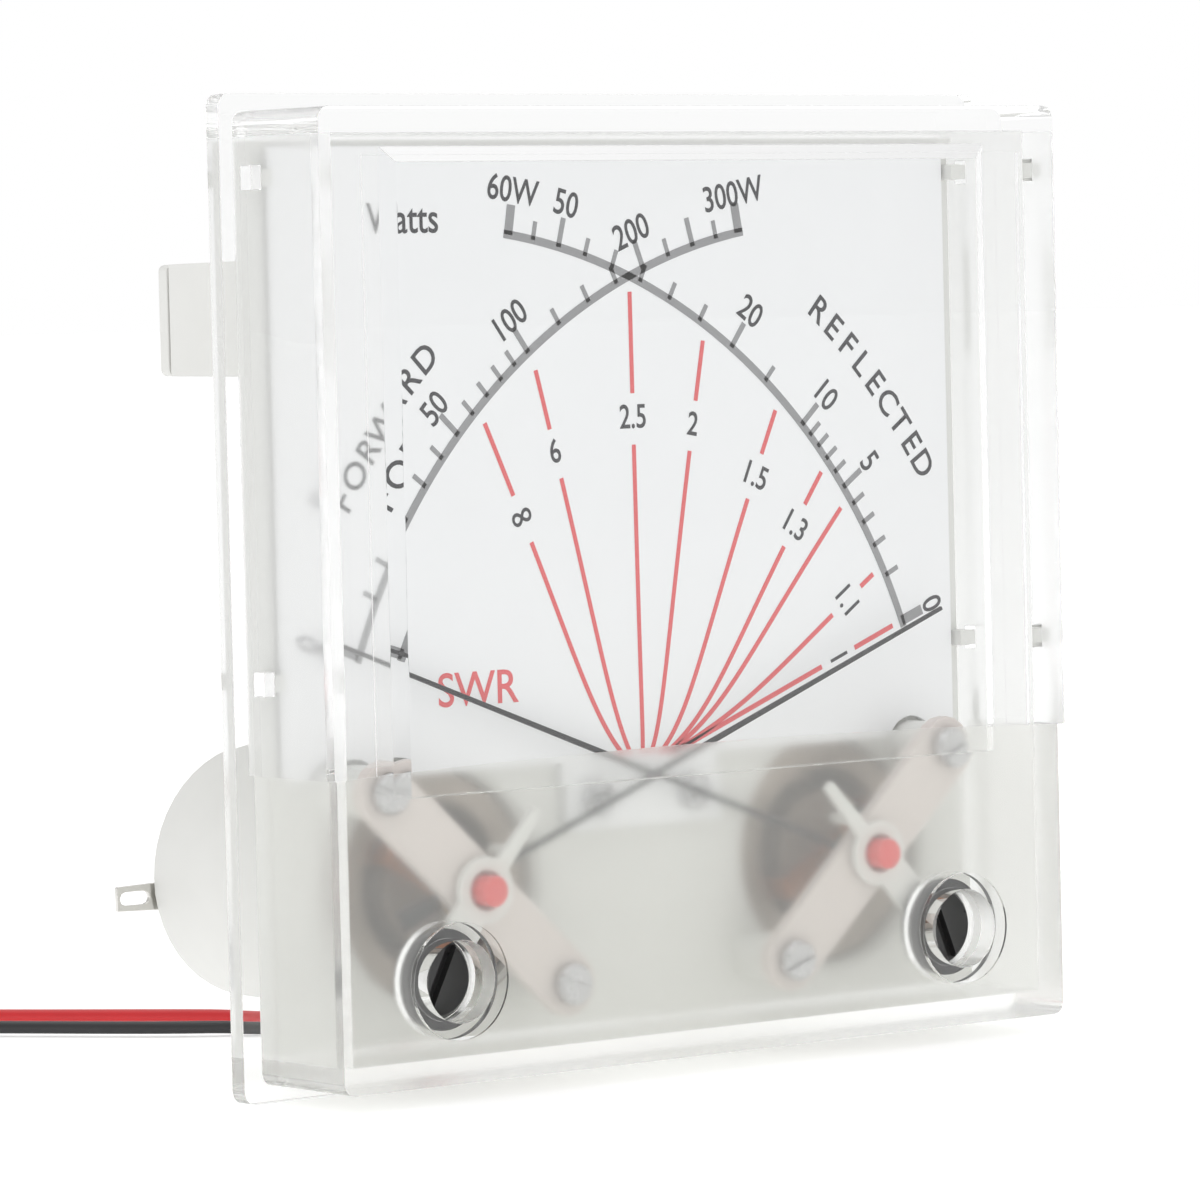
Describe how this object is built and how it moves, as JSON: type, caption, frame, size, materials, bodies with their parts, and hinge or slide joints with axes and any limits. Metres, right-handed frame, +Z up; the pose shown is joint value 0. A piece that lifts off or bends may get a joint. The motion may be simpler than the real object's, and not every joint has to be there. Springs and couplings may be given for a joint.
{
  "type": "cross-needle swr and power panel meter",
  "caption": "Square panel meter with a clear cover, two crossing needles over one dial, slotted zero adjusters, round rear cans, solder lugs and lamp leads.",
  "frame": {"origin": "middle of the flat rear face of the housing's plate, level with the back of the cover's flange", "axes": "+X to the right of the dial as it is read, +Y to the rear, +Z up. The dial faces -Y."},
  "size_m": [0.0811, 0.0975, 0.0788],
  "materials": {
    "clear_acrylic": "clear and polished, satin below the dial window",
    "white_plastic": "satin moulded",
    "dial_white": "matt printed plate",
    "black_plastic": "semi-gloss moulded",
    "needle_black": "matt black paint",
    "magnet": "dark, as sintered",
    "iron": "blackened soft iron",
    "cream_bridge": "satin moulded",
    "copper": "enamelled copper winding",
    "bronze": "phosphor bronze",
    "red_seal": "glossy sealing lacquer",
    "steel": "nickel plated",
    "tinned": "tin plated brass",
    "lamp_glass": "clear glass",
    "board": "phenolic board",
    "rubber": "matt",
    "red_pvc": "satin wire insulation",
    "black_pvc": "satin wire insulation"
  },
  "bodies": {
    "case": {"front_cover": "clear_acrylic", "rear_housing": "white_plastic", "dial_plate": "dial_white", "dial_screw_left": "steel", "dial_screw_right": "steel", "lamp_cover": "white_plastic", "lamp_board": "board", "lamp_bulb_left": "lamp_glass", "lamp_bulb_right": "lamp_glass", "lead_bush": "rubber", "wire_red": "red_pvc", "wire_red_end": "tinned", "wire_black": "black_pvc", "wire_black_end": "tinned", "left_yoke_ring": "iron", "left_core_magnet": "magnet", "left_front_bridge": "cream_bridge", "left_bridge_screw_outer": "steel", "left_bridge_screw_inner": "steel", "left_jewel_screw_front": "red_seal", "left_rear_bridge": "cream_bridge", "left_jewel_screw_rear": "bronze", "left_hairspring_front": "bronze", "left_hairspring_rear": "bronze", "left_solder_lug_outer": "tinned", "left_solder_lug_inner": "tinned", "left_terminal_screw_outer": "tinned", "left_terminal_screw_inner": "tinned", "right_yoke_ring": "iron", "right_core_magnet": "magnet", "right_front_bridge": "cream_bridge", "right_bridge_screw_outer": "steel", "right_bridge_screw_inner": "steel", "right_jewel_screw_front": "red_seal", "right_rear_bridge": "cream_bridge", "right_jewel_screw_rear": "bronze", "right_hairspring_front": "bronze", "right_hairspring_rear": "bronze", "right_solder_lug_outer": "tinned", "right_solder_lug_inner": "tinned", "right_terminal_screw_outer": "tinned", "right_terminal_screw_inner": "tinned"},
    "left_adjuster": {"left_zero_screw": "black_plastic"},
    "left_lever": {"left_zero_lever": "white_plastic"},
    "left_pointer": {"left_needle": "needle_black", "left_moving_coil": "copper"},
    "right_adjuster": {"right_zero_screw": "black_plastic"},
    "right_lever": {"right_zero_lever": "white_plastic"},
    "right_pointer": {"right_needle": "needle_black", "right_moving_coil": "copper"}
  },
  "joints": [
    {"name": "left_zero_adjust", "type": "hinge", "parent": "case", "child": "left_adjuster", "pos_m": [-0.0261, 0, -0.02995], "axis": [0, -1, 0], "range_deg": [-60, 60]},
    {"name": "left_zero_shift", "type": "hinge", "parent": "case", "child": "left_lever", "pos_m": [-0.0204, 0, -0.0235], "axis": [0, -1, 0], "range_deg": [-5.5, 5.5]},
    {"name": "left_needle_swing", "type": "hinge", "parent": "left_lever", "child": "left_pointer", "pos_m": [-0.0204, 0, -0.0235], "axis": [0, -1, 0], "range_deg": [-2, 62], "stiffness_Nm_per_rad": 0.0005},
    {"name": "right_zero_adjust", "type": "hinge", "parent": "case", "child": "right_adjuster", "pos_m": [0.0261, 0, -0.02995], "axis": [0, -1, 0], "range_deg": [-60, 60]},
    {"name": "right_zero_shift", "type": "hinge", "parent": "case", "child": "right_lever", "pos_m": [0.0204, 0, -0.0235], "axis": [0, -1, 0], "range_deg": [-5.5, 5.5]},
    {"name": "right_needle_swing", "type": "hinge", "parent": "right_lever", "child": "right_pointer", "pos_m": [0.0204, 0, -0.0235], "axis": [0, 1, 0], "range_deg": [-2, 62], "stiffness_Nm_per_rad": 0.0005}
  ],
  "couplings": [
    {"joint": "left_zero_shift", "follows": "left_zero_adjust", "ratio": 0.091},
    {"joint": "right_zero_shift", "follows": "right_zero_adjust", "ratio": 0.091}
  ]
}
